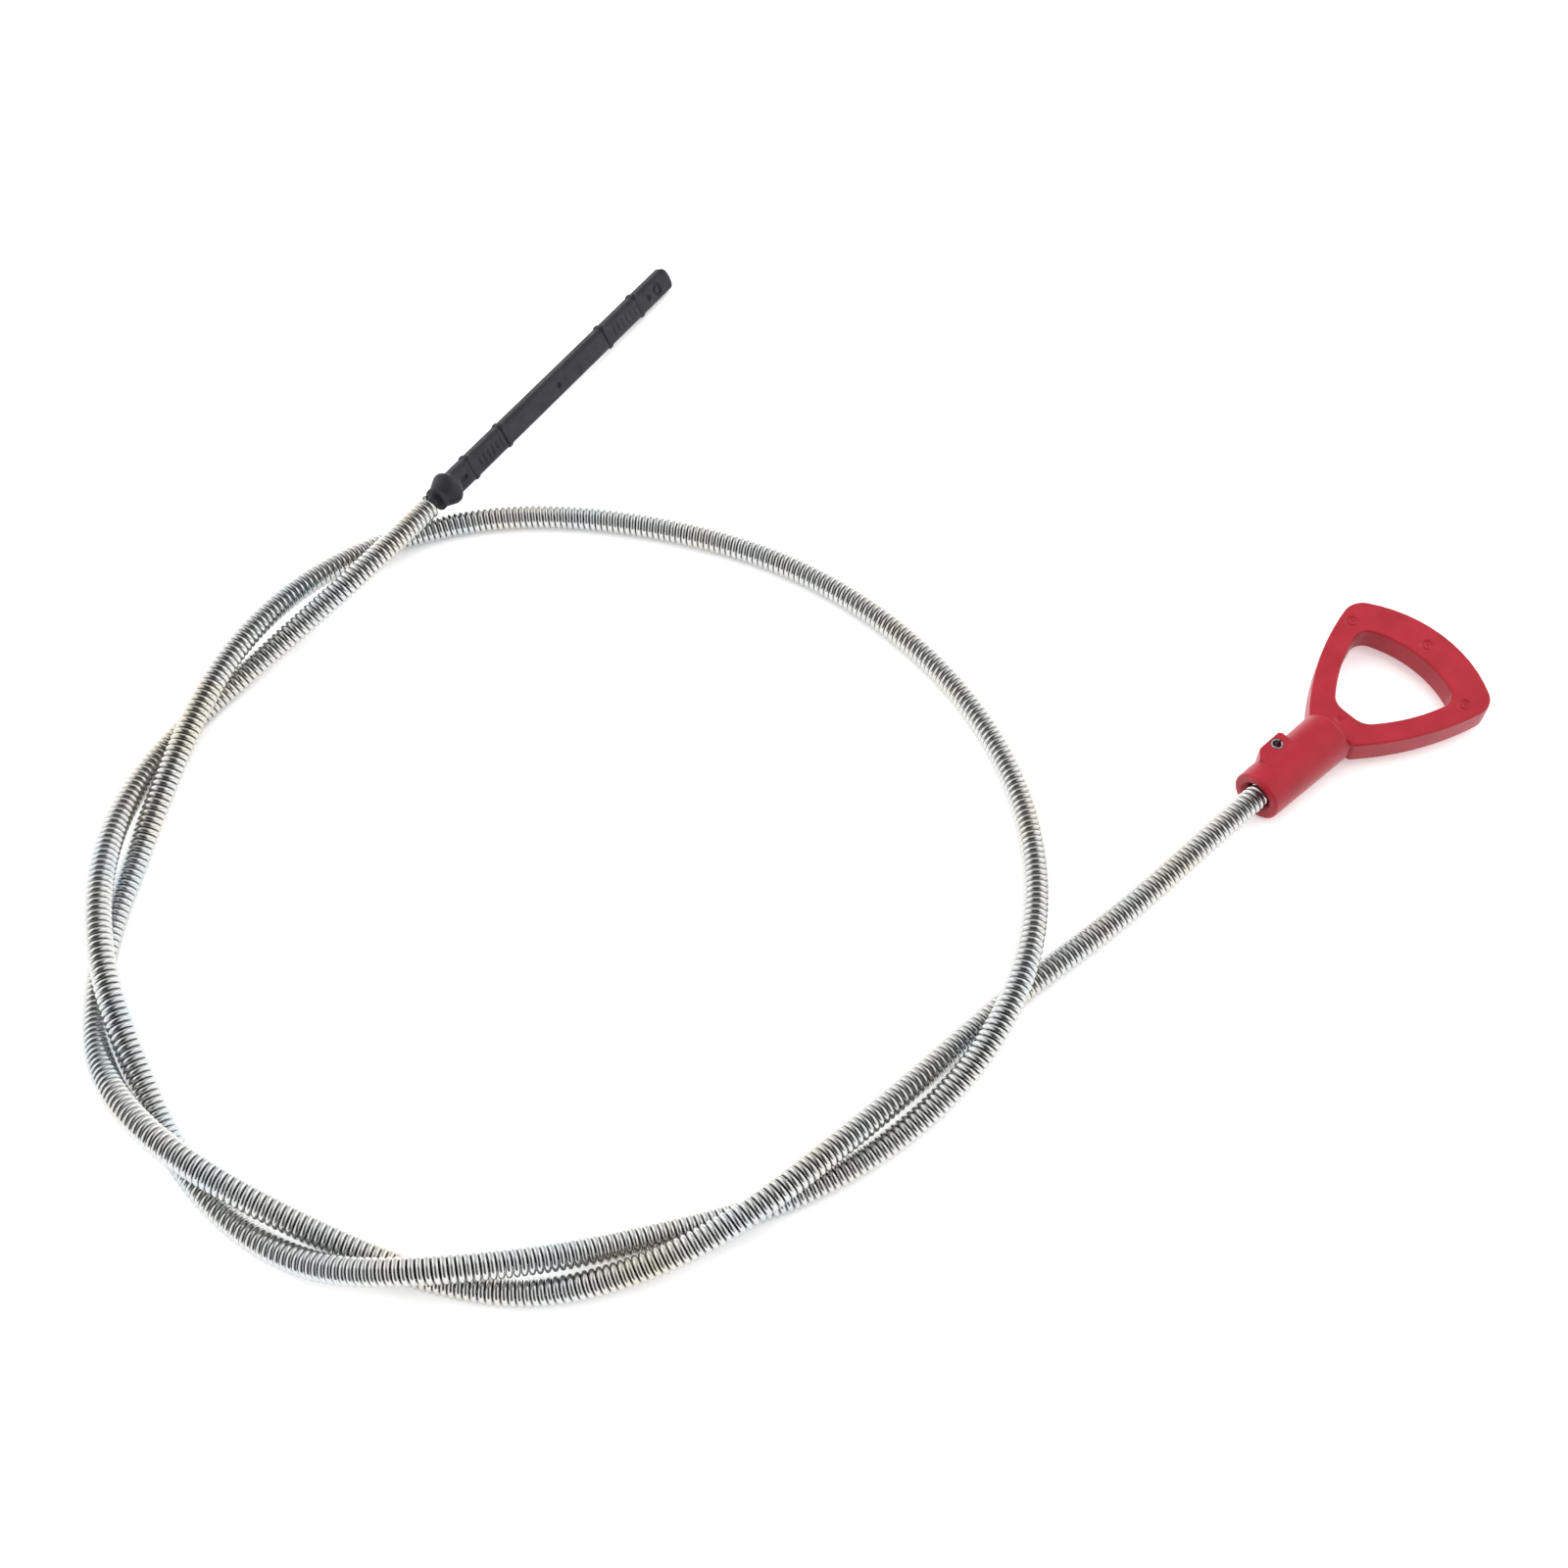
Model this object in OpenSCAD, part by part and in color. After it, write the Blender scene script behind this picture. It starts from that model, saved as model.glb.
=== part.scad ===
// Flexible level gauge: a red pull handle, a long close-wound spring shaft with a
// core rope inside, and a black level blade on its far end.
// Millimetres, +Z up. The gauge lies on the plane z = 0. X runs along the handle,
// from the mouth of its boss to the crown of its grip. The origin is under the
// middle of the handle.

/* [Handle] */
// Length from the mouth of the boss to the crown of the grip
handle_len = 65; // [63:0.2:68]
// Thickness of the triangular grip
grip_t = 5.9; // [4.5:0.1:7]
// Half width of the grip at its two far corners
grip_half_w = 19.9; // [18.8:0.1:21]
// Diameter of the boss where it meets the grip
boss_d = 12.4; // [12:0.1:13]
// Diameter of the boss at its mouth
mouth_d = 11.8; // [11:0.1:12]
// Length of the boss
boss_len = 24.5; // [23.5:0.1:25]
// Diameter of the recess round the mouth
recess_d = 8; // [7.6:0.1:9]
// Depth of the recess round the mouth
recess_depth = 1.8; // [1:0.1:3.5]

/* [Shaft] */
// Outer diameter of the spring shaft
shaft_d = 5.8; // [5.7:0.05:5.85]
// Diameter of the spring wire
wire_d = 1.4; // [1.3:0.05:1.45]
// Diameter of the core rope
rope_d = 1.5; // [1.2:0.1:1.6]
// Depth that the shaft goes into the boss
shaft_grip = 17.1; // [16:0.1:18]

/* [Retaining pin] */
// Outer diameter of the hollow pin
pin_d = 2.8; // [2.6:0.1:2.8]
// Bore of the hollow pin
pin_bore_d = 2.0; // [1.6:0.1:2]
// Width of the slit along the pin
pin_slit = 0.5; // [0.3:0.1:0.6]
// Distance of the pin from the mouth
pin_from_mouth = 11; // [10:0.1:12]

/* [Blade] */
// Length from the end of the spring to the end of the blade
tip_len = 102.4; // [99:0.2:104]
// Width of the blade
blade_w = 6.1; // [5.8:0.1:6.2]
// Thickness of the blade
blade_t = 3.8; // [3.6:0.1:4]
// Radius of the blade's long edges
blade_edge_r = 1.2; // [1:0.1:1.4]
// Angle that the blade lies rolled about its own length
blade_roll = 60; // [50:1:70]
// Largest diameter of the guide collar
collar_d = 8.5; // [8.3:0.1:9.2]
// Distances of the level marks from the end of the blade
mark_1 = 14.3; // [13:0.1:15]
mark_2 = 29.1; // [28:0.1:30]
mark_3 = 73.2; // [72:0.1:74]
mark_4 = 86.8; // [86:0.1:88]

/* [Hidden] */
$fn = 64;
eps = 0.01;

mouth_x = -handle_len / 2;
axis_z = boss_d / 2;

// Outline of the grip, one half: corner circles as [distance from the mouth,
// distance from the axis, radius], and the radius of the crowned side after each
neck_half_w = 5.8;
corner_r = 5.5;
outer_side_r = 72;
outer_crown_r = 30.9;
corner_y = grip_half_w - corner_r;
corner_x = handle_len - outer_crown_r
         + sqrt(pow(outer_crown_r - corner_r, 2) - corner_y * corner_y);
grip_outer = [[boss_len, neck_half_w - 0.6, 0.6], [corner_x, corner_y, corner_r]];
grip_hole = [[34.6, 2.5, 3.4], [corner_x - 4.8, corner_y - 5.1, 3.9]];
hole_side_r = 47;
hole_crown_r = 26.8;
hole_neck_r = 70;

// Lug for the pin: a flat pad on one side of the boss
lug_from = 5;
lug_to = 14.2;
lug_out_y = 6.4;
lug_top_z = 11.6;
lug_foot_z = 3;
lug_chamfer = 2;
pin_y = shaft_d / 2 + pin_d / 2 + 0.25;
pin_foot_z = 2.4;
pin_x = mouth_x + pin_from_mouth;

// Bores of the handle
shaft_bore_d = shaft_d + 0.4;

// Route of the shaft: [x, y, lift], fitted points that the shaft bends smoothly
// between. Lift 0 lies on the plane, lift 1 passes over another turn of the shaft.
mouth_lift = (axis_z - shaft_d / 2) / shaft_d;
laid = [
    [mouth_x + shaft_grip, 0, mouth_lift],
    [-44, 0, mouth_lift],
    [-76, -1, 0.1],
    [-105, 2, 0],
    [-134, 0, 0.4],
    [-166, -1, 1.4],
    [-188, 1, 0.9],
    [-213, 11, 0.2],
    [-230, 27, -0.3],
    [-245, 55, 0.5],
    [-258, 84, 1.9],
    [-259, 110, 0.6],
    [-250, 130, -0.3],
    [-229, 150, -0.2],
    [-206, 166, 0.8],
    [-182, 182, 1.3],
    [-153, 191, 0.7],
    [-127, 190, -0.1],
    [-103, 177, 0],
    [-84, 157, 0],
    [-67, 131, 0],
    [-58, 103, 0],
    [-57, 70, 0.1],
    [-67, 38, 0.5],
    [-86, 12, 0.9],
    [-112, -4, 1.4],
    [-138, -8, 0.3],
    [-170, -2, -0.1],
    [-194, 10, 0.1],
    [-213, 19, 0.6],
    [-235, 32, 1.8],
    [-251, 49, 0.4],
    [-258, 79, -0.3],
    [-252, 107, 0.3],
    [-245, 133, 1.7],
    [-227, 160, 0.9],
    [-204, 175, -0.1],
    [-176, 180, 0],
    [-146, 180.1, 1.3],
    [-119.6, 188, 1.03]
];
// All of it past the straight start stands this much to one side
laid_shift = [-0.6, 0.25, 0];
route = [for (k = [0:len(laid) - 1]) k < 2 ? laid[k] : laid[k] + laid_shift];
steps_per_span = 2;
shaft_sides = 12;
rope_sides = 8;
bore_flat_d = (shaft_d - 2 * wire_d) / cos(180 / shaft_sides);

// Pieces on the core rope
rope_room = 0.1;
plug_d = shaft_d - 2 * wire_d - 0.15;
plug_len = 12;
plug_wall = 5;
rope_from_end = 8;
anchor_d = 2.6;
anchor_at = 3.2;
anchor_len = 3.4;

// Blade, measured from the end of the spring
tail_d = 2.7;
tail_len = 8;
collar_from = 1.4;
blade_from = 7;
end_r = 7;
collar_flats = 7.8;
collar_profile = [[0, collar_from], [2.5, collar_from], [3, 1.7], [3, 2.6], [2.95, 3.4],
                  [collar_d / 2 - 0.25, 6], [collar_d / 2, 6.6], [collar_d / 2, 7.4],
                  [collar_d / 2 - 0.35, 8], [3, 9], [0, 9]];
mark_w = 1.5;
mark_rise = 0.35;

// The route is a uniform cubic B-spline, straight at both ends
last = len(route) - 1;
function knot(i) = i < 0 ? 2 * route[0] - route[1]
                 : i > last ? 2 * route[last] - route[last - 1]
                 : route[i];
function spline(i, t) = (pow(1 - t, 3) * knot(i - 1)
                        + (3 * pow(t, 3) - 6 * t * t + 4) * knot(i)
                        + (-3 * pow(t, 3) + 3 * t * t + 3 * t + 1) * knot(i + 1)
                        + pow(t, 3) * knot(i + 2)) / 6;
function raised(p) = [p.x, p.y, shaft_d * (0.5 + max(0, p.z))];
spans = last * steps_per_span;
path = [for (k = [0:spans])
    let (i = min(floor(k / steps_per_span), last - 1))
    raised(spline(i, k / steps_per_span - i))];

// Direction of the blade: it carries on the last of the route
tip_start = path[spans];
tip_dir = raised(route[last]) - raised(route[last - 1]);
tip_heading = atan2(tip_dir.y, tip_dir.x);
tip_pitch = atan2(-tip_dir.z, norm([tip_dir.x, tip_dir.y]));

rope_path = concat([path[0] - [rope_from_end, 0, 0]],
                   [for (k = [1:spans]) path[k]],
                   [tip_start + (anchor_at + anchor_len / 2) * unit(tip_dir)]);

// Ring of n points of radius r across a path at its point k
function unit(v) = v / norm(v);
function heading(p, k) = unit(p[min(k + 1, len(p) - 1)] - p[max(k - 1, 0)]);
function ring(p, k, r, n) =
    let (d = heading(p, k), side = unit(cross([0, 0, 1], d)), up = cross(d, side))
    [for (j = [0:n - 1]) p[k] + r * (cos(360 * j / n) * side + sin(360 * j / n) * up)];
function rings(p, r, n) = [for (k = [0:len(p) - 1]) each ring(p, k, r, n)];
function wall(count, n, first, out) = [for (k = [0:count - 2], j = [0:n - 1])
    let (a = first + k * n + j, b = first + k * n + (j + 1) % n)
    out ? [a, a + n, b + n, b] : [a, b, b + n, a + n]];
function end_ring(n, a, b, start) = [for (j = [0:n - 1])
    let (i = (j + 1) % n)
    start ? [a + j, a + i, b + i, b + j] : [a + i, a + j, b + j, b + i]];

// Rounded outline through corner circles joined by crowned sides
function crown_centre(a, b, r) =
    let (u = [a.x, a.y], v = [b.x, b.y], ra = r - a[2], rb = r - b[2],
         d = norm(v - u), along = (ra * ra - rb * rb + d * d) / (2 * d),
         off = sqrt(ra * ra - along * along), w = (v - u) / d)
    u + along * w + off * [-w.y, w.x];
function angle_of(v) = atan2(v.y, v.x);
function arc(c, r, a0, a1, n) =
    let (turn = (a1 - a0 + 720) % 360)
    [for (k = [0:n]) c + r * [cos(a0 + turn * k / n), sin(a0 + turn * k / n)]];
function outline(corners, sides, n) = [for (k = [0:len(corners) - 1])
    let (m = len(corners), here = corners[k], c = [here.x, here.y],
         before = crown_centre(corners[(k + m - 1) % m], here, sides[(k + m - 1) % m]),
         after = crown_centre(here, corners[(k + 1) % m], sides[k]),
         next = corners[(k + 1) % m])
    each concat(
        arc(c, here[2], angle_of(c - before), angle_of(c - after), n),
        arc(after, sides[k], angle_of(c - after),
            angle_of([next.x, next.y] - after), n))];
function mirrored(half) = [[half[0].x, -half[0].y, half[0][2]],
                           [half[1].x, -half[1].y, half[1][2]],
                           half[1], half[0]];
arc_steps = 8;

module grip_plate() {
    translate([mouth_x, 0, axis_z - grip_t / 2]) linear_extrude(grip_t)
        difference() {
            polygon(outline(mirrored(grip_outer),
                [outer_side_r, outer_crown_r, outer_side_r, 4 * outer_side_r], arc_steps));
            polygon(outline(mirrored(grip_hole),
                [hole_side_r, hole_crown_r, hole_side_r, hole_neck_r], arc_steps));
        }
}

module along_x(x) {
    translate([x, 0, axis_z]) rotate([0, 90, 0]) children();
}

module lug() {
    translate([mouth_x, 0, lug_foot_z]) linear_extrude(lug_top_z - lug_foot_z)
        polygon([[lug_from, 0], [lug_to, 0], [lug_to, lug_out_y],
                 [lug_from + lug_chamfer, lug_out_y], [lug_from, lug_out_y - lug_chamfer]]);
}

// One moulding: grip, boss and lug
module pull_handle() {
    color("#c41e33") difference() {
        union() {
            grip_plate();
            along_x(mouth_x) cylinder(h = boss_len, d1 = mouth_d, d2 = boss_d);
            lug();
        }
        along_x(mouth_x - eps) cylinder(h = shaft_grip + eps, d = shaft_bore_d);
        along_x(mouth_x - eps) cylinder(h = recess_depth + eps, d = recess_d);
        translate([pin_x, pin_y, -eps]) cylinder(h = boss_d + 1, d = pin_d);
    }
}

// Hollow slit pin that passes beside the shaft and locks its turns
module retaining_pin() {
    color("silver") translate([pin_x, pin_y, pin_foot_z]) difference() {
        cylinder(h = lug_top_z - pin_foot_z, d = pin_d);
        translate([0, 0, -eps]) cylinder(h = boss_d, d = pin_bore_d);
        translate([0, -pin_slit / 2, -eps]) cube([pin_d, pin_slit, boss_d]);
    }
}

// Close-wound spring, as a plain hollow tube of its own outer size
module spring_shaft() {
    n = len(path);
    inner_first = n * shaft_sides;
    points = concat(rings(path, shaft_d / 2, shaft_sides),
                    rings(path, bore_flat_d / 2, shaft_sides));
    color("gainsboro") polyhedron(points, concat(
        wall(n, shaft_sides, 0, true),
        wall(n, shaft_sides, inner_first, false),
        end_ring(shaft_sides, 0, inner_first, true),
        end_ring(shaft_sides, (n - 1) * shaft_sides, inner_first + (n - 1) * shaft_sides,
                 false)));
}

// Wire rope inside the spring, from the end plug to the anchor in the blade
module core_rope() {
    n = len(rope_path);
    color("dimgray") polyhedron(rings(rope_path, rope_d / 2, rope_sides), concat(
        wall(n, rope_sides, 0, true),
        [[for (j = [0:rope_sides - 1]) j]],
        [[for (j = [0:rope_sides - 1]) n * rope_sides - 1 - j]]));
}

// Swaged plug on the rope, inside the spring where the pin bears on it
module core_end_plug() {
    color("darkgray") along_x(mouth_x + shaft_grip - plug_len) difference() {
        cylinder(h = plug_len, d = plug_d);
        translate([0, 0, -eps]) cylinder(h = plug_len - plug_wall, d = rope_d + rope_room);
    }
}

// Along the blade: z = 0 is the end of the spring, x is across the blade's width
module at_tip() {
    translate(tip_start) rotate([0, 90 + tip_pitch, tip_heading]) rotate(blade_roll - 90)
        children();
}

// Swaged anchor that the blade is moulded round
module blade_anchor() {
    color("darkgray") at_tip() translate([0, 0, anchor_at]) difference() {
        cylinder(h = anchor_len, d = anchor_d);
        translate([0, 0, -eps]) cylinder(h = anchor_len / 2 + rope_room, d = rope_d + rope_room);
    }
}

module blade_section(w, t, r) {
    square([w - 2 * r, t], center = true);
    square([w, t - 2 * r], center = true);
    for (x = [-1, 1], y = [-1, 1])
        translate([x * (w / 2 - r), y * (t / 2 - r)]) circle(r);
}

module level_marks() {
    for (m = [mark_1, mark_2, mark_3, mark_4])
        translate([0, 0, tip_len - m - mark_w / 2]) linear_extrude(mark_w)
            blade_section(blade_w + 2 * mark_rise, blade_t, blade_edge_r);
}

module guide_collar() {
    intersection() {
        rotate_extrude() polygon(collar_profile);
        translate([-collar_d, -collar_flats / 2, 0]) cube([2 * collar_d, collar_flats, tip_len]);
    }
}

// One moulding: tail, guide collar, blade and its level marks
module level_blade() {
    color("#26282b") at_tip() difference() {
        union() {
            translate([0, 0, -tail_len]) cylinder(h = tail_len + collar_from + eps, d = tail_d);
            guide_collar();
            intersection() {
                translate([0, 0, blade_from]) linear_extrude(tip_len - blade_from)
                    blade_section(blade_w, blade_t, blade_edge_r);
                translate([0, blade_t, tip_len - end_r]) rotate([90, 0, 0]) union() {
                    cylinder(h = 2 * blade_t, r = end_r);
                    translate([-blade_w, -tip_len, 0]) cube([2 * blade_w, tip_len, 2 * blade_t]);
                }
            }
            level_marks();
        }
        translate([0, 0, -tail_len - eps]) cylinder(h = tail_len + anchor_at + 2 * eps,
                                                   d = rope_d + 2 * rope_room);
        translate([0, 0, anchor_at]) cylinder(h = anchor_len, d = anchor_d);
    }
}

pull_handle();
retaining_pin();
spring_shaft();
core_rope();
core_end_plug();
blade_anchor();
level_blade();
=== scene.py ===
import math

import bpy
import numpy as np
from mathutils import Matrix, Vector


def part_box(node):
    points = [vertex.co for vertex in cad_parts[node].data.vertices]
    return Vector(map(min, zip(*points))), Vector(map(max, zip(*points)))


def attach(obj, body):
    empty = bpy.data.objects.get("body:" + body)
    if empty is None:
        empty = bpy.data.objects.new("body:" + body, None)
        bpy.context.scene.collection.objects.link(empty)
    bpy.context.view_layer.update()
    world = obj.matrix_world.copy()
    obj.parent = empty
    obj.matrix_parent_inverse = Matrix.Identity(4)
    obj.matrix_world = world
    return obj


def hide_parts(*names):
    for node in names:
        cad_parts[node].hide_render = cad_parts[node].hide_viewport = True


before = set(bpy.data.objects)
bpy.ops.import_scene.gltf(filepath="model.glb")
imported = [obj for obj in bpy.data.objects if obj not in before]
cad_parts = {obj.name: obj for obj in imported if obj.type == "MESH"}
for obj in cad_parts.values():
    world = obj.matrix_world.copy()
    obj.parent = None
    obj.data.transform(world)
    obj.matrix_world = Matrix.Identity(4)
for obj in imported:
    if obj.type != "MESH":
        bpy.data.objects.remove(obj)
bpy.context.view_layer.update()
MM = 0.001


# ---------------------------------------------------------------- camera

CAMERA_HEADING = math.radians(48.5)
CAMERA_DOWN = math.radians(56.7)

camera_data = bpy.data.cameras.new("camera")
camera = bpy.data.objects.new("camera", camera_data)
bpy.context.collection.objects.link(camera)
bpy.context.scene.camera = camera
camera_data.sensor_width = 36
camera_data.lens = 44.55
camera_data.clip_start = 0.01
camera_data.clip_end = 20
camera.location = (-0.2652, -0.10565, 0.3667)
look = Vector((
    math.cos(CAMERA_HEADING) * math.cos(CAMERA_DOWN),
    math.sin(CAMERA_HEADING) * math.cos(CAMERA_DOWN),
    -math.sin(CAMERA_DOWN),
))
camera.rotation_euler = look.to_track_quat("-Z", "Y").to_euler()


# ---------------------------------------------------------------- sizes, mm

HANDLE_LEN = 65.0
HANDLE_LOW, HANDLE_HIGH = [np.array(corner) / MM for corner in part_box("pull_handle")]
MOUTH_X = HANDLE_LOW[0]
BOSS_D = HANDLE_HIGH[2] - HANDLE_LOW[2]
AXIS_Z = BOSS_D / 2
SHAFT_D = 5.8
WIRE_D = 1.4
PITCH = 1.46
SHAFT_GRIP = 17.1
TIP_LEN = 102.4
BLADE_W, BLADE_T, BLADE_EDGE_R = 6.1, 3.8, 1.2
BLADE_ROLL = math.radians(60)
LEVEL_MARKS = [TIP_LEN - m for m in (14.3, 29.1, 73.2, 86.8)]
MARK_DEPTHS = [0.25, 0.5, 0.5, 0.2]


# ---------------------------------------------------------------- route of the shaft

# x, y and lift above the floor in shaft diameters: the same fitted points as in the
# CAD model, which were not chosen by hand
MOUTH_LIFT = AXIS_Z / SHAFT_D - 0.5
ROUTE = np.array([
    (MOUTH_X + SHAFT_GRIP, 0, MOUTH_LIFT), (-44, 0, MOUTH_LIFT), (-76, -1, 0.1),
    (-105, 2, 0), (-134, 0, 0.4), (-166, -1, 1.4), (-188, 1, 0.9), (-213, 11, 0.2),
    (-230, 27, -0.3), (-245, 55, 0.5), (-258, 84, 1.9), (-259, 110, 0.6),
    (-250, 130, -0.3), (-229, 150, -0.2), (-206, 166, 0.8), (-182, 182, 1.3),
    (-153, 191, 0.7), (-127, 190, -0.1), (-103, 177, 0), (-84, 157, 0),
    (-67, 131, 0), (-58, 103, 0), (-57, 70, 0.1), (-67, 38, 0.5),
    (-86, 12, 0.9), (-112, -4, 1.4), (-138, -8, 0.3), (-170, -2, -0.1),
    (-194, 10, 0.1), (-213, 19, 0.6), (-235, 32, 1.8), (-251, 49, 0.4),
    (-258, 79, -0.3), (-252, 107, 0.3), (-245, 133, 1.7), (-227, 160, 0.9),
    (-204, 175, -0.1), (-176, 180, 0), (-146, 180.1, 1.3), (-119.6, 188, 1.03),
])
ROUTE_SHIFT = (-0.6, 0.25)
ROUTE[2:, :2] += ROUTE_SHIFT
SPLINE_STEPS = 12
LINE_SPACING = 0.5


def unit(v):
    return v / np.linalg.norm(v, axis=-1, keepdims=True)


def spline(knots, steps):
    """A uniform cubic B-spline through the route, straight at both ends."""
    ends = np.vstack([2 * knots[0] - knots[1], knots, 2 * knots[-1] - knots[-2]])
    u = np.linspace(0, len(knots) - 1, (len(knots) - 1) * steps + 1)
    i = np.minimum(u.astype(int), len(knots) - 2)
    t = (u - i)[:, None]
    return (
        (1 - t) ** 3 * ends[i]
        + (3 * t**3 - 6 * t**2 + 4) * ends[i + 1]
        + (-3 * t**3 + 3 * t**2 + 3 * t + 1) * ends[i + 2]
        + t**3 * ends[i + 3]
    ) / 6


def resample(points, spacing):
    """The same line with points an even distance apart."""
    run = np.r_[0, np.cumsum(np.linalg.norm(np.diff(points, axis=0), axis=1))]
    at = np.linspace(0, run[-1], int(run[-1] / spacing) + 1)
    return np.column_stack([np.interp(at, run, points[:, k]) for k in range(3)]), at


def smoothed(values, width):
    """Each column averaged over its neighbours, with both ends kept in place."""
    kernel = np.hanning(2 * width + 3)[1:-1]
    kernel /= kernel.sum()
    padded = np.concatenate([
        2 * values[0] - values[width:0:-1], values,
        2 * values[-1] - values[-2 : -width - 2 : -1],
    ])
    return np.column_stack([
        np.convolve(padded[:, k], kernel, "valid") for k in range(values.shape[1])
    ])


line = spline(ROUTE, SPLINE_STEPS)
line[:, 2] = SHAFT_D * (0.5 + np.maximum(0, line[:, 2]))
line, run = resample(line, LINE_SPACING)
line[:, 2] = smoothed(line, 9)[:, 2]
line[:, 2] = np.maximum(line[:, 2], SHAFT_D / 2)
SHAFT_LEN = run[-1]

tip_start = line[-1]
blade_dir = unit((ROUTE[-1] - ROUTE[-2]) * (1, 1, SHAFT_D))


# ---------------------------------------------------------------- meshes

def new_object(name, vertices, faces, smooth=True):
    """A mesh piece from points in millimetres."""
    mesh = bpy.data.meshes.new(name)
    mesh.from_pydata((np.asarray(vertices) * MM).tolist(), [], faces)
    mesh.validate()
    if smooth:
        mesh.shade_smooth()
    piece = bpy.data.objects.new(name, mesh)
    bpy.context.collection.objects.link(piece)
    return piece


def tube(name, centres, outward, radius, sides):
    """A round tube along centres; outward is one direction across it at each."""
    along = unit(np.gradient(centres, axis=0))
    across = unit(np.cross(along, outward))
    outward = np.cross(across, along)
    angle = np.arange(sides) * 2 * np.pi / sides
    rings = (
        centres[:, None]
        + radius * np.cos(angle)[None, :, None] * outward[:, None]
        + radius * np.sin(angle)[None, :, None] * across[:, None]
    )
    n = len(centres)
    k, j = np.meshgrid(np.arange(n - 1), np.arange(sides), indexing="ij")
    a, b = (k * sides + j).ravel(), (k * sides + (j + 1) % sides).ravel()
    faces = np.column_stack([a, b, b + sides, a + sides]).tolist()
    faces.append(list(range(sides))[::-1])
    faces.append([(n - 1) * sides + j for j in range(sides)])
    return new_object(name, rings.reshape(-1, 3), faces)


# Shapes made as distance fields: negative inside, joined and cut with small fillets

def join(a, b, fillet):
    """Both shapes as one, with a fillet where they meet."""
    h = np.clip(0.5 + 0.5 * (b - a) / fillet, 0, 1)
    return b + (a - b) * h - fillet * h * (1 - h)


def cut(a, b, fillet):
    """The first shape without the second, with a fillet along the edge of the cut."""
    return -join(-a, b, fillet)


def rounded(d, e, r):
    """Where two distances meet at a right angle, with the edge rounded."""
    d, e = d + r, e + r
    return np.minimum(np.maximum(d, e), 0) + np.hypot(np.maximum(d, 0), np.maximum(e, 0)) - r


def polygon_distance(x, y, points):
    """Distance from a closed polygon, negative inside it."""
    x, y = np.broadcast_arrays(x, y)
    best = np.full(x.shape, 1e9)
    inside = np.zeros(x.shape, bool)
    for (ax, ay), (bx, by) in zip(points, np.roll(points, -1, axis=0)):
        ux, uy = bx - ax, by - ay
        t = np.clip(((x - ax) * ux + (y - ay) * uy) / (ux * ux + uy * uy + 1e-12), 0, 1)
        best = np.minimum(best, np.hypot(x - ax - t * ux, y - ay - t * uy))
        if ay != by:
            crosses = ((ay > y) != (by > y)) & (x < ax + (y - ay) * ux / uy)
            inside ^= crosses
    return np.where(inside, -best, best)


def contour(field, low, high, step):
    """The field's zero surface as vertices and quads, one vertex in each cell it cuts."""
    axes = [np.arange(a, b + step, step) for a, b in zip(low, high)]
    x, y, z = np.meshgrid(*axes, indexing="ij", sparse=True)
    values = field(x, y, z)
    solid = values < 0
    shape = np.array(solid.shape)
    count = np.zeros(shape - 1, np.int16)
    total = np.zeros((*(shape - 1), 3), np.float32)
    quads = []
    spans = []
    for axis in range(3):
        a = np.take(solid, range(shape[axis] - 1), axis)
        b = np.take(solid, range(1, shape[axis]), axis)
        at = np.argwhere(a != b)
        va = values[tuple(at.T)]
        step_to = at.copy()
        step_to[:, axis] += 1
        vb = values[tuple(step_to.T)]
        place = at.astype(float)
        place[:, axis] += va / (va - vb)
        u, v = (axis + 1) % 3, (axis + 2) % 3
        keep = (at[:, u] > 0) & (at[:, v] > 0)
        keep &= (at[:, u] < shape[u] - 1) & (at[:, v] < shape[v] - 1)
        at, place, outward = at[keep], place[keep], va[keep] < 0
        corner = []
        for du, dv in ((1, 1), (0, 1), (0, 0), (1, 0)):
            cell = at.copy()
            cell[:, u] -= du
            cell[:, v] -= dv
            np.add.at(count, tuple(cell.T), 1)
            np.add.at(total, tuple(cell.T), place)
            corner.append(cell)
        spans.append((corner, outward))
    used = count > 0
    index = np.full(used.shape, -1)
    index[used] = np.arange(used.sum())
    vertices = total[used] / count[used][:, None] * step + np.array(low)
    for corner, outward in spans:
        quad = np.column_stack([index[tuple(c.T)] for c in corner])
        quads.append(np.where(outward[:, None], quad, quad[:, ::-1]))
    for _ in range(3):
        p = vertices.T
        here = field(*p)
        h = 0.02
        slope = np.stack([
            field(p[0] + h, p[1], p[2]) - field(p[0] - h, p[1], p[2]),
            field(p[0], p[1] + h, p[2]) - field(p[0], p[1] - h, p[2]),
            field(p[0], p[1], p[2] + h) - field(p[0], p[1], p[2] - h),
        ], 1) / (2 * h)
        move = here[:, None] * slope / np.maximum((slope**2).sum(1, keepdims=True), 0.3)
        vertices = vertices - np.clip(move, -step, step)
    return vertices, np.vstack(quads).tolist()


# ---------------------------------------------------------------- materials

def material(name):
    """A new material with its nodes, its links and its main shader."""
    made = bpy.data.materials.new(name)
    made.use_nodes = True
    nodes = made.node_tree.nodes
    return made, nodes, made.node_tree.links, nodes["Principled BSDF"]


def noise(nodes, links, scale, detail=2.0, rough=0.5):
    place = nodes.new("ShaderNodeTexCoord")
    made = nodes.new("ShaderNodeTexNoise")
    made.inputs["Scale"].default_value = scale
    made.inputs["Detail"].default_value = detail
    made.inputs["Roughness"].default_value = rough
    links.new(place.outputs["Object"], made.inputs["Vector"])
    return made.outputs["Fac"]


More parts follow.
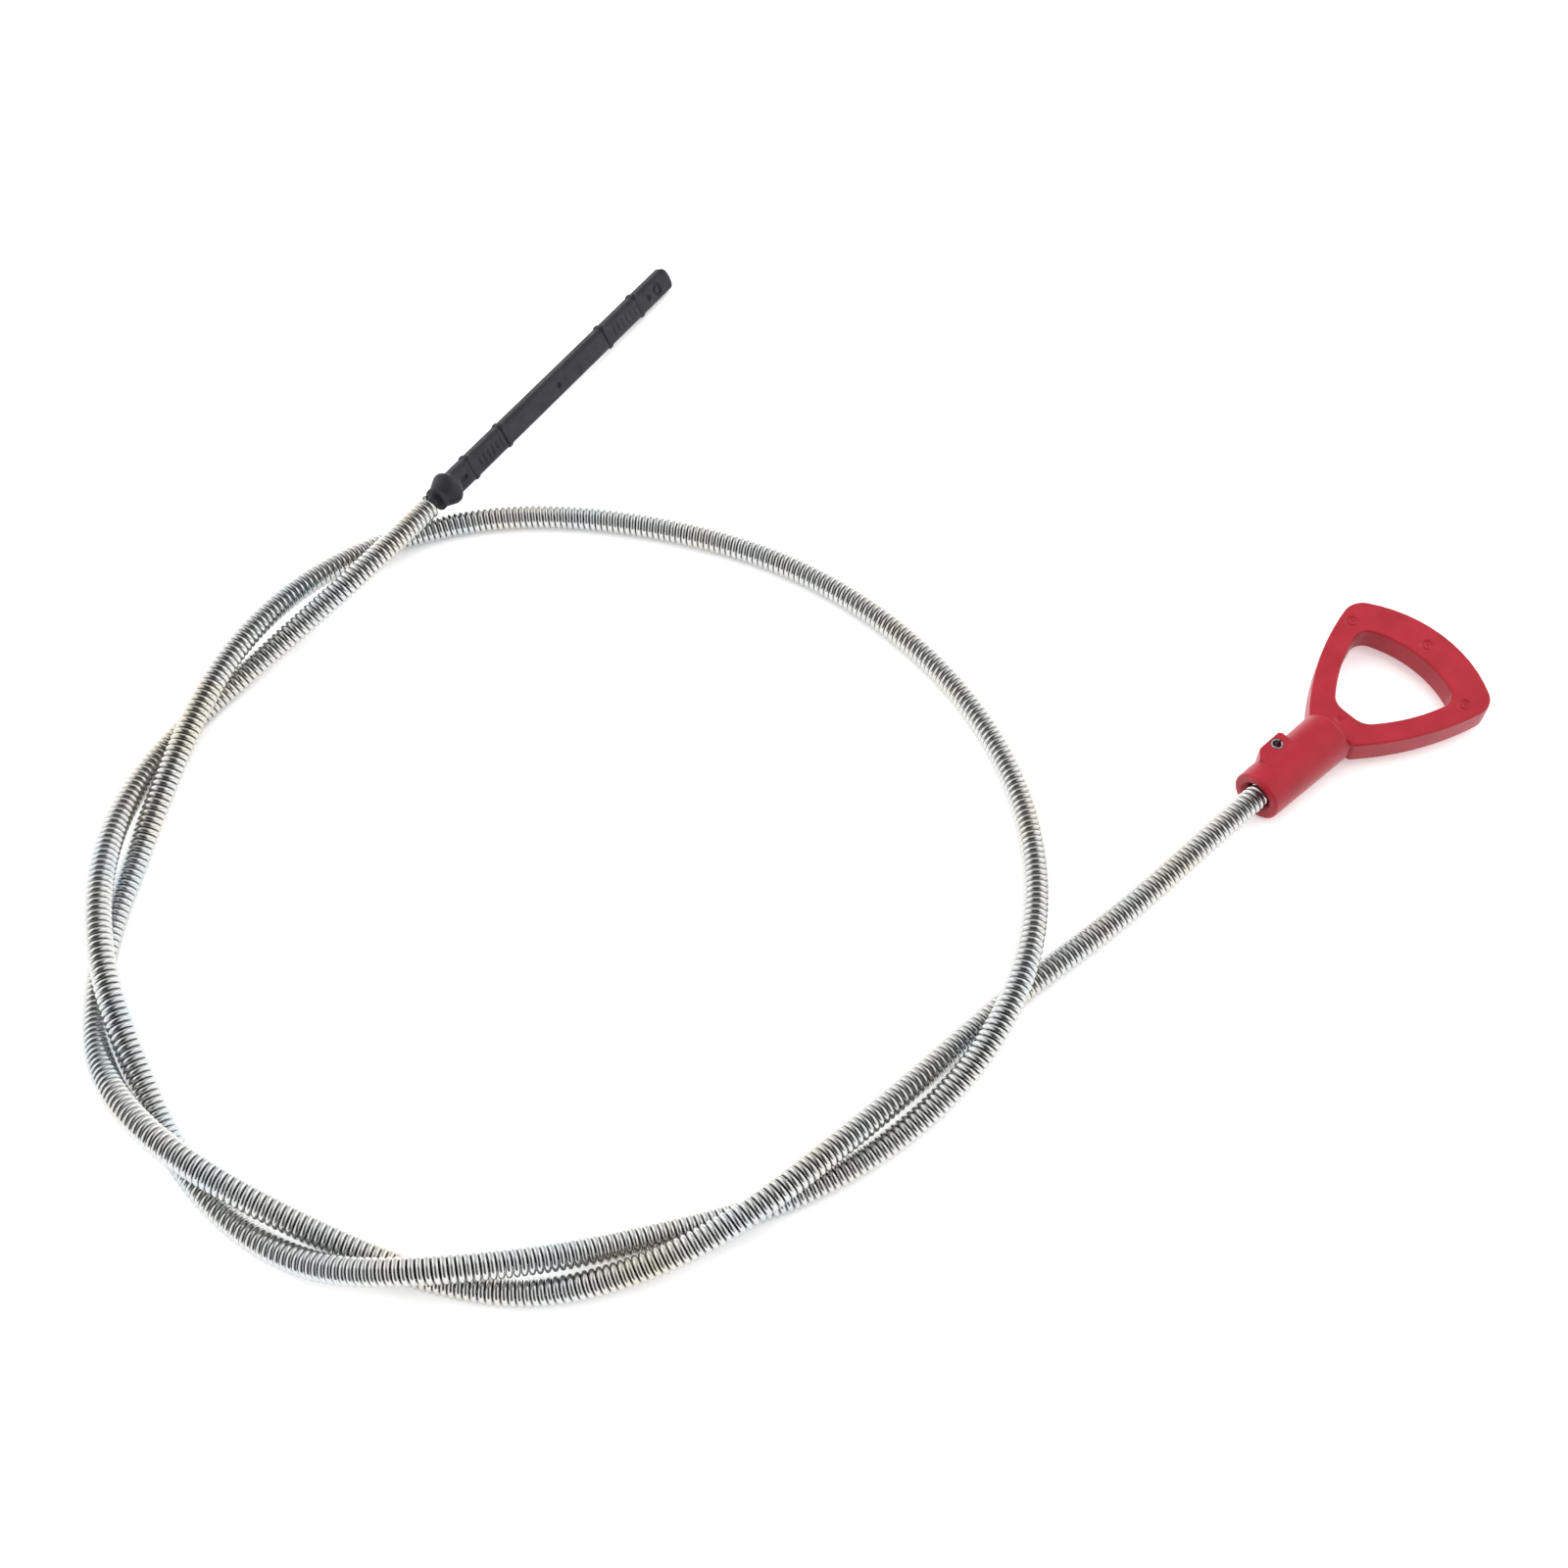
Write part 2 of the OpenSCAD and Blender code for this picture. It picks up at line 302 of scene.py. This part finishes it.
def ramp(nodes, links, source, *stops):
    made = nodes.new("ShaderNodeValToRGB")
    elements = made.color_ramp.elements
    while len(elements) < len(stops):
        elements.new(0.5)
    for element, (at, colour) in zip(elements, stops):
        element.position = at
        element.color = (*colour, 1)
    links.new(source, made.inputs["Fac"])
    return made.outputs["Color"]


def grey(v):
    return (v, v, v)


def bump(nodes, links, shader, source, strength, distance):
    made = nodes.new("ShaderNodeBump")
    made.inputs["Strength"].default_value = strength
    made.inputs["Distance"].default_value = distance
    links.new(source, made.inputs["Height"])
    links.new(made.outputs["Normal"], shader.inputs["Normal"])


def moulded_red():
    """Lightly polished red nylon: faint flow streaks, fine grain, soft gloss."""
    made, nodes, links, shader = material("moulded_red")
    flow = noise(nodes, links, 160, 3, 0.6)
    colour = ramp(nodes, links, flow, (0.3, (0.268, 0.0075, 0.0165)), (0.7, (0.332, 0.012, 0.025)))
    links.new(colour, shader.inputs["Base Color"])
    gloss = noise(nodes, links, 420, 3)
    links.new(ramp(nodes, links, gloss, (0.3, grey(0.30)), (0.7, grey(0.40))),
              shader.inputs["Roughness"])
    shader.inputs["Specular IOR Level"].default_value = 0.27
    bump(nodes, links, shader, noise(nodes, links, 1500, 2), 0.12, 0.00006)
    return made


def plated_wire():
    """Bright zinc plate: patches a little warmer or cooler, a little duller or brighter."""
    made, nodes, links, shader = material("plated_wire")
    patch = noise(nodes, links, 45, 2, 0.55)
    colour = ramp(nodes, links, patch,
                  (0.30, (0.485, 0.525, 0.545)), (0.45, (0.545, 0.555, 0.545)),
                  (0.58, (0.555, 0.545, 0.515)), (0.72, (0.545, 0.515, 0.45)))
    links.new(colour, shader.inputs["Base Color"])
    shader.inputs["Metallic"].default_value = 1.0
    gloss = noise(nodes, links, 700, 2)
    links.new(ramp(nodes, links, gloss, (0.3, grey(0.15)), (0.7, grey(0.26))),
              shader.inputs["Roughness"])
    return made


def moulded_black():
    """Matte black nylon with a fine grain and paler rubbed spots."""
    made, nodes, links, shader = material("moulded_black")
    rub = noise(nodes, links, 160, 4, 0.6)
    colour = ramp(nodes, links, rub,
                  (0.35, (0.009, 0.0085, 0.0115)), (0.7, (0.018, 0.0165, 0.0215)))
    links.new(colour, shader.inputs["Base Color"])
    gloss = noise(nodes, links, 600, 3)
    links.new(ramp(nodes, links, gloss, (0.3, grey(0.50)), (0.7, grey(0.66))),
              shader.inputs["Roughness"])
    shader.inputs["Specular IOR Level"].default_value = 0.35
    bump(nodes, links, shader, noise(nodes, links, 1800, 2), 0.2, 0.00008)
    return made


def plain_steel(name, base, low, high, scale):
    """Bare steel, mottled at the given scale, with a roughness from low to high."""
    made, nodes, links, shader = material(name)
    darker = tuple(0.8 * c for c in base)
    mottle = noise(nodes, links, scale, 3)
    links.new(ramp(nodes, links, mottle, (0.3, darker), (0.7, base)),
              shader.inputs["Base Color"])
    shader.inputs["Metallic"].default_value = 1.0
    gloss = noise(nodes, links, scale * 3, 2)
    links.new(ramp(nodes, links, gloss, (0.3, grey(low)), (0.7, grey(high))),
              shader.inputs["Roughness"])
    return made


red = moulded_red()
wire = plated_wire()
black = moulded_black()
pin_steel = plain_steel("pin_steel", (0.56, 0.55, 0.57), 0.35, 0.5, 500)
rope_steel = plain_steel("rope_steel", (0.42, 0.41, 0.39), 0.35, 0.5, 900)
swaged_steel = plain_steel("swaged_steel", (0.50, 0.49, 0.47), 0.3, 0.45, 400)


def finish_piece(piece, made, node):
    """Gives it its material and its body, and hides the CAD node it stands for."""
    piece.data.materials.append(made)
    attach(piece, "root")
    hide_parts(node)


# ---------------------------------------------------------------- spring shaft

STEPS_PER_TURN = 20
WIRE_SIDES = 8
at = np.linspace(0, SHAFT_LEN, int(SHAFT_LEN / PITCH * STEPS_PER_TURN))
axis_points = np.column_stack([np.interp(at, run, line[:, k]) for k in range(3)])
heading = unit(smoothed(np.gradient(line, axis=0), 6))
heading = unit(np.column_stack([np.interp(at, run, heading[:, k]) for k in range(3)]))
side = unit(np.cross([0, 0, 1], heading))
up = np.cross(heading, side)
turn = 2 * np.pi * at / PITCH
outward = np.cos(turn)[:, None] * side + np.sin(turn)[:, None] * up
coil = axis_points + (SHAFT_D - WIRE_D) / 2 * outward
spring = tube("spring_turns", coil, outward, WIRE_D / 2, WIRE_SIDES)


# ---------------------------------------------------------------- black blade

BLADE_END_R = 7
COLLAR_Z = [1.9, 2.15, 2.8, 3.5, 6.0, 6.5, 7.4, 8.0, 9, 9.8]
COLLAR_R = [2.5, 2.98, 3.0, 2.98, 4.05, 4.25, 4.25, 3.9, 3.0, 2.0]
COLLAR_FROM, COLLAR_TO = 2.0, 9.6
COLLAR_HALF_T = 3.9
TAIL_IN_SPRING = 8
DIMPLES = [(92.0, 0.0, 0.75, 1.1), (51.1, 0.0, 0.65, 1.0)]
STROKE_SPANS = [(TIP_LEN - 26.5, TIP_LEN - 17), (TIP_LEN - 84.5, TIP_LEN - 76)]
BLADE_STEP = 0.19


def blade_field(x, y, z):
    """x across the blade's width, y across its thickness, z along it from the spring."""
    radius = np.hypot(x, y)
    qx, qy = np.abs(x) - (BLADE_W / 2 - BLADE_EDGE_R), np.abs(y) - (BLADE_T / 2 - BLADE_EDGE_R)
    bead = 0 * z
    for m in LEVEL_MARKS:
        bead = bead + 0.38 * np.exp(-(((z - m) / 0.75) ** 4))
    qx = qx - bead
    section = np.hypot(np.maximum(qx, 0), np.maximum(qy, 0)) + np.minimum(np.maximum(qx, qy), 0)
    section = section - BLADE_EDGE_R
    end = np.hypot(x, np.maximum(z - (TIP_LEN - BLADE_END_R), 0)) - BLADE_END_R
    body = rounded(section, np.maximum(end, 7 - z), 0.35)

    collar = radius - np.interp(z, COLLAR_Z, COLLAR_R)
    collar = rounded(collar, np.abs(y) - COLLAR_HALF_T, 0.4)
    collar = rounded(collar, np.maximum(COLLAR_FROM - z, z - COLLAR_TO), 0.2)
    tail_r = np.where(z < 0, 1.35, 1.6)
    tail = rounded(radius - tail_r, np.maximum(-TAIL_IN_SPRING - z, z - 3), 0.2)
    shape = join(body, collar, 0.3)
    shape = join(shape, tail, 0.2)

    face = y + BLADE_T / 2
    near = np.exp(-((face / 0.6) ** 2))
    for m, depth in zip(LEVEL_MARKS, MARK_DEPTHS):
        shape = shape + near * depth * np.exp(-(((z - m + 0.95) / 0.24) ** 2))
    for z0, x0, r, depth in DIMPLES:
        shape = shape + near * depth * np.exp(-(np.hypot(x - x0, z - z0) / r) ** 4)
    slot_z = np.maximum(np.abs(z - 11.4) - 0.7, 0)
    shape = shape + near * 0.9 * np.exp(-(np.hypot(x - 0.3, slot_z) / 0.45) ** 4)
    ring = np.hypot(x - 0.1, z - 96)
    shape = shape + near * 0.75 * np.exp(-(((ring - 1.25) / 0.34) ** 2))
    past_stroke = np.maximum(np.abs(x) - 0.9, 0)
    for first, last in STROKE_SPANS:
        for z0 in np.linspace(first, last, 6):
            shape = shape + near * 0.22 * np.exp(-((np.hypot(z - z0, past_stroke) / 0.3) ** 2))
    return shape


vertices, quads = contour(
    blade_field, (-5.2, -4.8, -8.6), (5.2, 4.8, TIP_LEN + 0.8), BLADE_STEP
)
blade_side = unit(np.cross([0, 0, 1], blade_dir))
blade_up = np.cross(blade_dir, blade_side)
width_dir = -(math.cos(BLADE_ROLL) * blade_side + math.sin(BLADE_ROLL) * blade_up)
thick_dir = np.cross(blade_dir, width_dir)
placed = (
    tip_start
    + vertices[:, :1] * width_dir
    + vertices[:, 1:2] * thick_dir
    + vertices[:, 2:] * blade_dir
)
blade = new_object("blade_moulding", placed, quads)


# ---------------------------------------------------------------- red handle

def circle_arc(centre, radius, start, stop, steps):
    """Points along an arc, counter-clockwise from one angle to the other."""
    turn_by = (stop - start) % (2 * math.pi)
    a = start + turn_by * np.linspace(0, 1, steps + 1)
    return np.column_stack([centre[0] + radius * np.cos(a), centre[1] + radius * np.sin(a)])


def crown_centre(a, b, r):
    """Centre of the arc of radius r that touches the far sides of two corner circles."""
    pa, pb = np.array(a[:2]), np.array(b[:2])
    ra, rb = r - a[2], r - b[2]
    d = np.linalg.norm(pb - pa)
    along = (ra * ra - rb * rb + d * d) / (2 * d)
    off = math.sqrt(ra * ra - along * along)
    w = (pb - pa) / d
    return pa + along * w + off * np.array([-w[1], w[0]])


def outline(half, sides, steps):
    """Corner circles of one half and its mirror image, joined by crowned sides."""
    corners = [(x, -y, r) for x, y, r in half] + half[::-1]
    points = []
    for k, here in enumerate(corners):
        c = np.array(here[:2])
        before = crown_centre(corners[k - 1], here, sides[k - 1])
        after_corner = corners[(k + 1) % 4]
        after = crown_centre(here, after_corner, sides[k])
        a0 = math.atan2(*(c - before)[::-1])
        a1 = math.atan2(*(c - after)[::-1])
        a2 = math.atan2(*(np.array(after_corner[:2]) - after)[::-1])
        points += list(circle_arc(c, here[2], a0, a1, steps))
        points += list(circle_arc(after, sides[k], a1, a2, steps))
    return np.array(points)


GRIP_T = 5.9
BOSS_LEN = 24.5
CROWN_R = 30.9
CORNER_R, CORNER_Y = 5.5, 14.4
CORNER_X = HANDLE_LEN - CROWN_R + math.sqrt((CROWN_R - CORNER_R) ** 2 - CORNER_Y**2)
ARC_STEPS = 12
GRIP_OUTER = outline(
    [(BOSS_LEN, 5.2, 0.6), (CORNER_X, CORNER_Y, CORNER_R)], [72, CROWN_R, 72, 288], ARC_STEPS
)
GRIP_HOLE = outline(
    [(35.6, 1.8, 4.4), (CORNER_X - 4.8, CORNER_Y - 5.1, 3.9)], [47, 26.8, 47, 70], ARC_STEPS
)
LUG = np.array([(5, 0), (14.2, 0), (14.2, 5.7), (13.6, 6.4), (7.2, 6.3), (5, 4.4)])
LUG_FOOT = 3
PIN_X, PIN_Y, PIN_TOP = 11.0, 4.55, 11.6
PIN_HOLE_R = 1.4
BORE_R = 2.98
FUNNEL_DEPTH = 1.1
EJECTOR_MARKS = [(52.4, 16.4, 0.5), (52.7, -16.0, 0.5), (59.9, 0.3, 0.65)]
EJECTOR_R = 1.2
HANDLE_STEP = 0.23


def handle_field(x, y, z):
    """x from the mouth of the boss, y and z from its axis."""
    hole = polygon_distance(x, y, GRIP_HOLE)
    ring = np.maximum(polygon_distance(x, y, GRIP_OUTER), -hole)
    plate = rounded(ring + 0.02 * np.abs(z) - 0.08, np.abs(z) - GRIP_T / 2, 0.4)
    radius = np.hypot(y, z)
    boss_r = 5.9 + 0.3 * x / BOSS_LEN
    boss = rounded(radius - boss_r, np.abs(x - BOSS_LEN / 2) - BOSS_LEN / 2, 0.55)
    shape = join(plate, boss, 0.3)
    low, high = LUG_FOOT - AXIS_Z, PIN_TOP - AXIS_Z
    past_ends = np.abs(z - (low + high) / 2) - (high - low) / 2
    lug = rounded(polygon_distance(x, y, LUG), past_ends, 0.22)
    shape = join(shape, lug, 0.2)
    funnel = np.interp(x, [-1, 0, 0.4, 0.9, 1.1], [4.6, 4.1, 3.65, 3.1, 3.0])
    shape = cut(shape, np.maximum(radius - funnel, x - FUNNEL_DEPTH), 0.2)
    shape = cut(shape, np.maximum(radius - BORE_R, x - SHAFT_GRIP), 0.1)
    shape = cut(shape, np.hypot(x - PIN_X, y - PIN_Y) - PIN_HOLE_R, 0.08)

    top = np.exp(-(((z - GRIP_T / 2) / 0.5) ** 2))
    for mx, my, depth in EJECTOR_MARKS:
        away = np.hypot(x - mx, y - my)
        shape = shape + top * depth * np.exp(-(((away - EJECTOR_R) / 0.27) ** 2))
        shape = shape + top * 1.4 * depth * np.exp(-((away / 0.5) ** 2))
    nick = np.hypot(x - 28.3, y - 0.4)
    shape = shape + top * 0.8 * np.exp(-((nick / 0.6) ** 2))
    flank = 1 / (1 + np.exp((y + 4.6) / 0.25))
    shape = shape + flank * 0.5 * np.exp(-(((x - BOSS_LEN - 0.35) / 0.3) ** 2))
    return shape


vertices, quads = contour(handle_field, (-1, -20.6, -7.2), (67.2, 20.6, 7.2), HANDLE_STEP)
handle = new_object("handle_moulding", vertices + np.array([MOUTH_X, 0, AXIS_Z]), quads)


# ---------------------------------------------------------------- hollow pin

def pin_rings():
    """The slit pin: its wall's section, carried round from one edge of the slit."""
    outer, inner, foot = 1.38, 1.0, 2.4
    half_slit = math.radians(14)
    wall = [(outer - 0.12, PIN_TOP), (outer, PIN_TOP - 0.15), (outer, foot + 0.3),
            (outer - 0.25, foot), (inner, foot), (inner, PIN_TOP - 0.1), (inner + 0.08, PIN_TOP)]
    angles = np.linspace(half_slit, 2 * math.pi - half_slit, 41)
    vertices = [
        (MOUTH_X + PIN_X + r * math.cos(a), PIN_Y + r * math.sin(a), z)
        for a in angles for r, z in wall
    ]
    n = len(wall)
    faces = []
    for k in range(len(angles) - 1):
        for j in range(n):
            a, b = k * n + j, k * n + (j + 1) % n
            faces.append([a, b, b + n, a + n])
    faces.append(list(range(n))[::-1])
    faces.append([(len(angles) - 1) * n + j for j in range(n)])
    return vertices, faces


pin = new_object("pin_roll", *pin_rings(), smooth=False)


# ---------------------------------------------------------------- put together

finish_piece(spring, wire, "spring_shaft")
finish_piece(blade, black, "level_blade")
finish_piece(handle, red, "pull_handle")
finish_piece(pin, pin_steel, "retaining_pin")
for node, made in (("core_rope", rope_steel), ("core_end_plug", swaged_steel),
                   ("blade_anchor", swaged_steel)):
    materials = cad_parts[node].data.materials
    materials.clear()
    materials.append(made)


# ---------------------------------------------------------------- floor and light

def floor():
    """A wide pale floor that glows a little, so that it stays white in every view."""
    mesh = bpy.data.meshes.new("floor")
    half = 12.0
    corners = [(-half, -half, 0), (half, -half, 0), (half, half, 0), (-half, half, 0)]
    mesh.from_pydata(corners, [], [(0, 1, 2, 3)])
    plane = bpy.data.objects.new("floor", mesh)
    bpy.context.collection.objects.link(plane)
    made, nodes, links, shader = material("pale_floor")
    clouds = noise(nodes, links, 3, 2)
    links.new(ramp(nodes, links, clouds, (0.3, grey(0.90)), (0.7, grey(0.92))),
              shader.inputs["Base Color"])
    shader.inputs["Roughness"].default_value = 0.9
    shader.inputs["Specular IOR Level"].default_value = 0.1
    shader.inputs["Emission Color"].default_value = (1, 1, 1, 1)
    shader.inputs["Emission Strength"].default_value = 0.3
    mesh.materials.append(made)


def overhead_light():
    """A large soft lamp above the loops, which doesn't show in reflections."""
    place, target = Vector((-0.05, 0.15, 1.5)), Vector((-0.11, 0.09, 0))
    data = bpy.data.lights.new("overhead", "AREA")
    data.shape = "RECTANGLE"
    data.size, data.size_y = 2.4, 2.4
    data.energy = 34
    lamp = bpy.data.objects.new("overhead", data)
    lamp.location = place
    lamp.rotation_euler = (target - place).to_track_quat("-Z", "Y").to_euler()
    lamp.visible_glossy = False
    bpy.context.collection.objects.link(lamp)


def studio_world():
    """A room that is dark in front, and pale behind and to the left and right.

    Reflections show that room, and the background itself is plain white.
    """
    world = bpy.data.worlds.new("studio")
    bpy.context.scene.world = world
    world.use_nodes = True
    nodes, links = world.node_tree.nodes, world.node_tree.links
    place = nodes.new("ShaderNodeTexCoord")

    def along(direction):
        made = nodes.new("ShaderNodeVectorMath")
        made.operation = "DOT_PRODUCT"
        made.inputs[1].default_value = direction
        links.new(place.outputs["Generated"], made.inputs[0])
        return made.outputs["Value"]

    depth = ramp(nodes, links, along((0.33, 0.375, 0)), (0.0, grey(0.06)), (0.07, grey(0.28)),
                 (0.26, grey(0.62)), (0.5, grey(0.77)))
    across = nodes.new("ShaderNodeMath")
    across.operation = "ABSOLUTE"
    links.new(along((0.749, -0.663, 0)), across.inputs[0])
    sides = ramp(nodes, links, across.outputs[0], (0.4, grey(0)), (0.7, grey(1.0)))
    total = nodes.new("ShaderNodeVectorMath")
    total.operation = "ADD"
    links.new(depth, total.inputs[0])
    links.new(sides, total.inputs[1])
    links.new(total.outputs[0], nodes["Background"].inputs["Color"])
    nodes["Background"].inputs["Strength"].default_value = 1.25
    backdrop = nodes.new("ShaderNodeBackground")
    backdrop.inputs["Color"].default_value = (1, 1, 1, 1)
    ray = nodes.new("ShaderNodeLightPath")
    choose = nodes.new("ShaderNodeMixShader")
    links.new(ray.outputs["Is Camera Ray"], choose.inputs[0])
    links.new(nodes["Background"].outputs[0], choose.inputs[1])
    links.new(backdrop.outputs[0], choose.inputs[2])
    links.new(choose.outputs[0], nodes["World Output"].inputs["Surface"])


floor()
overhead_light()
studio_world()
bpy.context.scene.view_settings.view_transform = "Standard"
